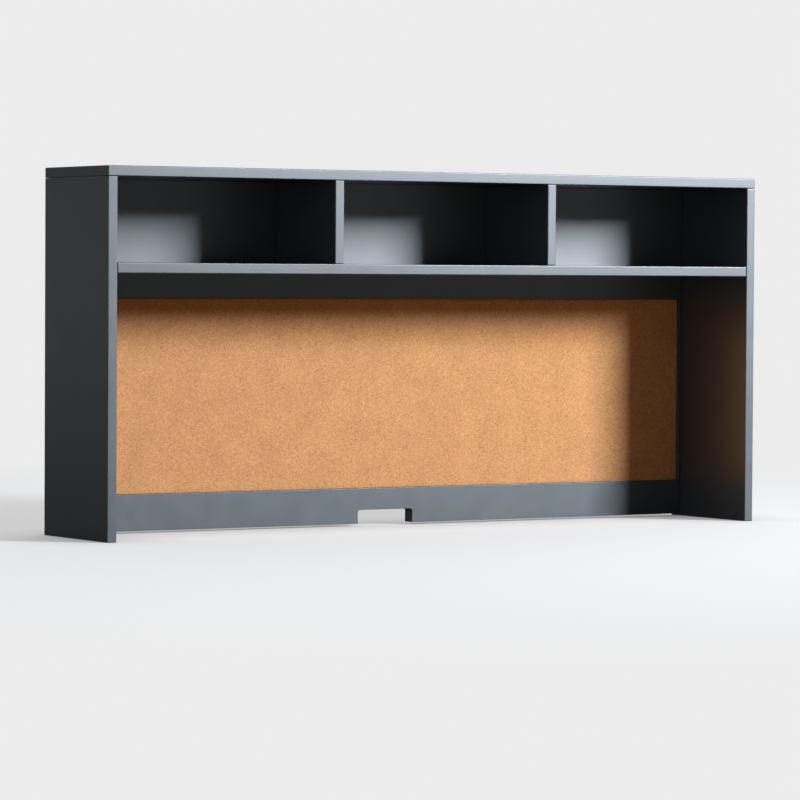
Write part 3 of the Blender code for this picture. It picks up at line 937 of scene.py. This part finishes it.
def insert_mesh(diameter, length):
    outer, bore, mouth, foot = diameter / 2, INSERT_BORE / 2, length / 2, -length / 2
    profile = [(outer - INSERT_CHAMFER, foot)]
    profile += [(outer, z) for z in steps(foot + INSERT_CHAMFER, mouth - INSERT_LIP, INSERT_RINGS)]
    profile += [(outer, mouth - INSERT_BREAK), (outer - INSERT_BREAK, mouth),
                (bore + INSERT_CHAMFER, mouth), (bore, mouth - INSERT_CHAMFER),
                (bore, foot + INSERT_CHAMFER), (bore + INSERT_CHAMFER, foot)]
    ridge = thread(INSERT_PITCH, INSERT_RIDGE, foot + INSERT_CHAMFER, mouth - INSERT_LIP)
    return turn("threaded_insert", profile, INSERT_SIDES,
                lambda angle, radius, height: ridge(angle, radius, height) if radius == outer else 0.0,
                hollow=True)


inserts = [node for node in NODES if "insert" in node]
turned_insert = insert_mesh(*size_of(inserts[0]))
for node in inserts:
    fasteners[node] = set_in(node, "threaded_" + node, turned_insert, BRASS,
                             HEAD_TOWARDS["insert"])
print("inserts:", len(inserts), "with", len(turned_insert.polygons), "faces")

# %% [markdown]
# ## The bores
#
# Every dowel, screw and insert sits in a bore that is a little wider than itself, and the bore of an
# insert is open at the board's foot. Drawing a bore into each board's outline would work only for the
# ones that run straight through. Here a drill is turned for each fastener and set where the fastener
# is. The boards that a fastener enters are found from their boxes, so no list has to be kept.

# %% Drill the bores
DRILL_CLEARANCE = 0.3 * MM
DRILL_OVERRUN = 2.0 * MM          # how far a drill reaches past the fastener's head
DRILL_SIDES = 40


def drill_profile(node):
    """The bore's radius and height along the fastener's axis, from its far end to its head."""
    diameter, length = size_of(node)
    wide, end = diameter / 2 + DRILL_CLEARANCE, length / 2 + DRILL_CLEARANCE
    outside = length / 2 + DRILL_OVERRUN
    if "dowel" in node:
        return [(wide, -end), (wide, end)]
    if "insert" in node:
        return [(wide, -end), (wide, outside)]
    if node in pans:
        return [(PAN_SHANK / 2 + DRILL_CLEARANCE, -end), (PAN_SHANK / 2 + DRILL_CLEARANCE, outside)]
    narrow, sink = FLAT_SHANK / 2 + DRILL_CLEARANCE, length / 2 - DRILL_CLEARANCE
    return [(narrow, -end), (narrow, sink - FLAT_HEAD_HEIGHT), (wide, sink), (wide, outside)]


def enters(fastener, board_node):
    """Whether a fastener's box and a board's box share any space."""
    (low, high), (board_low, board_high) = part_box(fastener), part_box(board_node)
    return all(low[i] < board_high[i] and high[i] > board_low[i] for i in range(3))


def drill(board, entering):
    """Cut the bores of these fasteners out of a board."""
    bm = bmesh.new()
    for node in entering:
        bore = turn("bore", drill_profile(node), DRILL_SIDES)
        placed = fasteners[node]
        bore.transform(Matrix.LocRotScale(placed.location, placed.rotation_quaternion, None))
        bm.from_mesh(bore)
        bpy.data.meshes.remove(bore)
    board.data = cut_away(board.data, mesh_from(bm, "drills"))


for board_node, board in boards.items():
    entering = [node for node in fasteners if enters(node, board_node)]
    if entering:
        drill(board, entering)
        print(board_node, "bores:", len(entering), "faces:", len(board.data.polygons))

# %% [markdown]
# ## The stage
#
# The hutch stands on a pale floor in front of a pale backdrop. What the camera sees of the floor is
# partly lit by the lamp, so that it keeps the case's shadow, and partly a glow with painted shade: the
# glow darkens where the case closes the floor in. The glow lights nothing. In reflections near the
# case the floor is dark, because a pale one would wash out the satin paint and its shadows. Light that
# the floor throws back is warm, as from a timber floor, and fills the cork's shadow. Far away the
# floor turns into the backdrop's colour, in reflections too.

# %% Lay the floor and set the backdrop
BACKDROP = (0.838, 0.838, 0.842)
FLOOR_SIZE = 40.0
FLOOR_SHARE = 0.42                # how much of the floor's look is lit by the lamp
FLOOR_LIFT = (0.500, 0.495, 0.495)
MIRRORED_FLOOR = (0.065, 0.078, 0.075)
WARM_FLOOR = (0.250, 0.140, 0.060)
# The next two set the painted shade on the floor's glow: near the case it is dimmed, as a contact shadow
# would dim it.
PAINTED_SHADE_REACH = 0.16                  # how near, in metres, something must be to darken the floor
GLOW_LEFT_IN_PAINTED_SHADE = 0.25                  # how much of the glow is left where the floor is closed in
FADE = (0.7, 2.3)                 # metres from the middle between which it turns into the backdrop
MIRRORED_FADE = (3.0, 18.0)       # the same for what a reflection shows of it
MIRRORED_NEAR = 0.08              # how much of the pale floor a reflection shows near the case


def seen_directly(tree, in_gloss):
    """One for rays from the camera and through glass, in_gloss for reflections, zero for the rest."""
    path = tree.nodes.new("ShaderNodeLightPath")
    mirrored = sum_of(tree, path.outputs["Is Glossy Ray"], in_gloss, "MULTIPLY")
    seen = sum_of(tree, path.outputs["Is Camera Ray"], mirrored, "MAXIMUM")
    return sum_of(tree, seen, path.outputs["Is Transmission Ray"], "MAXIMUM")


def mix_shaders(tree, share, first, second):
    made = tree.nodes.new("ShaderNodeMixShader")
    feed(tree, made.inputs["Fac"], share)
    tree.links.new(first, made.inputs[1])
    tree.links.new(second, made.inputs[2])
    return made.outputs["Shader"]


def diffuse(tree, colour):
    made = tree.nodes.new("ShaderNodeBsdfDiffuse")
    feed(tree, made.inputs["Color"], colour if isinstance(colour, bpy.types.NodeSocket) else (*colour, 1.0))
    return made.outputs["BSDF"]


def glow(tree, colour, strength=1.0):
    made = tree.nodes.new("ShaderNodeEmission")
    made.inputs["Color"].default_value = (*colour, 1.0)
    feed(tree, made.inputs["Strength"], strength)
    return made.outputs["Emission"]


def make_floor_finish():
    made = bpy.data.materials.new("pale_floor")
    made.use_nodes = True
    tree = made.node_tree
    tree.nodes.clear()
    lit = tree.nodes.new("ShaderNodeAddShader")
    tree.links.new(diffuse(tree, (FLOOR_SHARE,) * 3), lit.inputs[0])
    # Painted shade: ambient occlusion dims the glow where the case closes the floor in.
    closeness = tree.nodes.new("ShaderNodeAmbientOcclusion")
    closeness.inputs["Distance"].default_value = PAINTED_SHADE_REACH
    glow_after_painted_shade = remap(tree, closeness.outputs["AO"], 0.0, 1.0, GLOW_LEFT_IN_PAINTED_SHADE, 1.0)
    tree.links.new(glow(tree, FLOOR_LIFT, glow_after_painted_shade), lit.inputs[1])
    distance = add_node(tree, "ShaderNodeVectorMath", operation="LENGTH")
    tree.links.new(place_of(tree), distance.inputs[0])
    far = remap(tree, distance.outputs["Value"], *FADE, 0.0, 1.0)
    pale = mix_shaders(tree, far, lit.outputs["Shader"], glow(tree, BACKDROP))
    in_gloss = remap(tree, distance.outputs["Value"], *MIRRORED_FADE, MIRRORED_NEAR, 1.0)
    mirrored = tree.nodes.new("ShaderNodeLightPath").outputs["Is Glossy Ray"]
    thrown_back = diffuse(tree, mix_colours(tree, mirrored, WARM_FLOOR, MIRRORED_FLOOR))
    shown = mix_shaders(tree, seen_directly(tree, in_gloss), thrown_back, pale)
    output = tree.nodes.new("ShaderNodeOutputMaterial")
    tree.links.new(shown, output.inputs["Surface"])
    return made


bm = bmesh.new()
bmesh.ops.create_grid(bm, x_segments=8, y_segments=8, size=FLOOR_SIZE / 2)
floor_mesh = mesh_from(bm, "floor")
floor_mesh.materials.append(make_floor_finish())
floor = add_object("floor", floor_mesh)
print("floor, m:", FLOOR_SIZE)

# %% [markdown]
# ## The room
#
# A studio is dim round the camera and bright behind the object, where the backdrop is lit. A world
# that is equally bright all round would fill the cubbies with light and flatten their shadows. So
# the camera sees the backdrop's colour, and for every other ray the room is dim, with soft patches.
# One far to the left fills the boards' faces on that side, and a faint one behind it is mirrored in
# their gloss. One high at the back is mirrored by the top. A bright one behind, to the right, lights
# the back without touching any face seen from the front. Each patch has a soft edge, given by the
# cosines of two angles from its middle: the one where it begins and the one where it is full.

# %% Set the world
ROOM = (0.042, 0.040, 0.040)
LEFT_FILL = (0.90, 0.95, 1.04)
LEFT_FILL_SIDE = Vector((-0.96, -0.28, 0.0))
LEFT_FILL_EDGE = (0.80, 0.98)
LEFT_GLEAM = (0.070, 0.073, 0.081)
LEFT_GLEAM_SIDE = Vector((-0.53, 0.848, 0.0))
LEFT_GLEAM_EDGE = (0.5, 0.95)
HIGH_GLEAM = (0.42, 0.43, 0.45)
HIGH_GLEAM_SIDE = Vector((0.0, 0.74, 0.67))
HIGH_GLEAM_EDGE = (0.65, 0.92)
BACK_LIGHT = (3.0, 3.0, 3.0)
BACK_LIGHT_SIDE = Vector((0.70, 0.714, 0.0))
BACK_LIGHT_EDGE = (0.72, 0.92)


def patch(tree, direction, side, edge):
    """How far a direction lies inside a soft round patch of the room, from 0 to 1."""
    facing = add_node(tree, "ShaderNodeVectorMath", operation="DOT_PRODUCT")
    tree.links.new(direction, facing.inputs[0])
    facing.inputs[1].default_value = side
    return remap(tree, facing.outputs["Value"], *edge, 0.0, 1.0)


def make_world():
    world = bpy.data.worlds.new("studio")
    bpy.context.scene.world = world
    world.use_nodes = True
    tree = world.node_tree
    tree.nodes.clear()
    direction = tree.nodes.new("ShaderNodeTexCoord").outputs["Generated"]
    fill = patch(tree, direction, LEFT_FILL_SIDE, LEFT_FILL_EDGE)
    gleam = patch(tree, direction, LEFT_GLEAM_SIDE, LEFT_GLEAM_EDGE)
    high = patch(tree, direction, HIGH_GLEAM_SIDE, HIGH_GLEAM_EDGE)
    behind = patch(tree, direction, BACK_LIGHT_SIDE, BACK_LIGHT_EDGE)
    room = mix_colours(tree, gleam, mix_colours(tree, fill, ROOM, LEFT_FILL), LEFT_GLEAM)
    room = mix_colours(tree, behind, mix_colours(tree, high, room, HIGH_GLEAM), BACK_LIGHT)
    colour = mix_colours(tree, seen_directly(tree, behind), room, BACKDROP)
    background = tree.nodes.new("ShaderNodeBackground")
    tree.links.new(colour, background.inputs["Color"])
    output = tree.nodes.new("ShaderNodeOutputWorld")
    tree.links.new(background.outputs["Background"], output.inputs["Surface"])


make_world()
print("world set")

# %% [markdown]
# ## The softbox
#
# One large softbox lights the front, from the right and a little above. Its place can be read from
# the shadows: each board's front edge throws a soft line on the back, and how far the line lies from
# the edge gives the lamp's direction, while its softness gives the lamp's width and height.

# %% Hang the softbox
SOFTBOX_PLACE = Vector((3.975, -4.37, 2.595))
SOFTBOX_AIM = Vector((0.0, 0.0, 0.3))
SOFTBOX_WIDTH = 1.64
SOFTBOX_HEIGHT = 1.51
SOFTBOX_POWER = 650.0
SOFTBOX_COLOUR = (0.92, 1.0, 1.08)

light = bpy.data.lights.new("softbox", "AREA")
light.shape = "RECTANGLE"
light.size = SOFTBOX_WIDTH
light.size_y = SOFTBOX_HEIGHT
light.energy = SOFTBOX_POWER
light.color = SOFTBOX_COLOUR
light.cycles.use_multiple_importance_sampling = False
softbox = add_object("softbox", light)
softbox.location = SOFTBOX_PLACE
softbox.rotation_mode = "QUATERNION"
softbox.rotation_quaternion = (SOFTBOX_AIM - SOFTBOX_PLACE).to_track_quat("-Z", "Y")
print("softbox at", [round(x, 2) for x in SOFTBOX_PLACE])

# %% [markdown]
# ## A flag over the top
#
# Seen from behind, a lamp this low would be mirrored by the whole top and turn it white. A
# photographer hangs a flag, a card that cuts the lamp off one surface. Here two upright cards stand
# a few millimetres behind the top's front edge and inside its right edge. Only shadows see them.

# %% Hang the flag
FLAG_HEIGHT = 0.14
FLAG_INSET = 4.0 * MM
FLAG_GAP = 0.3 * MM

corners = ((CASE_LOW.x, CASE_LOW.y + FLAG_INSET), (CASE_HIGH.x - FLAG_INSET, CASE_LOW.y + FLAG_INSET),
           (CASE_HIGH.x - FLAG_INSET, CASE_HIGH.y))
bm = bmesh.new()
lower, upper = ([bm.verts.new((x, y, CASE_HIGH.z + lift)) for x, y in corners]
                for lift in (FLAG_GAP, FLAG_HEIGHT))
for i in range(len(corners) - 1):
    bm.faces.new((lower[i], lower[i + 1], upper[i + 1], upper[i]))
flag = add_object("flag", mesh_from(bm, "flag"))
for ray in ("camera", "diffuse", "glossy", "transmission", "volume_scatter"):
    setattr(flag, "visible_" + ray, False)
print("flag, mm high:", round(FLAG_HEIGHT / MM))

# %% [markdown]
# ## The sizes
#
# The finished hutch fills the same box as the frame, because sanding and pressing only take material
# off. The scene is finished.

# %% Finish
print("scene finished")
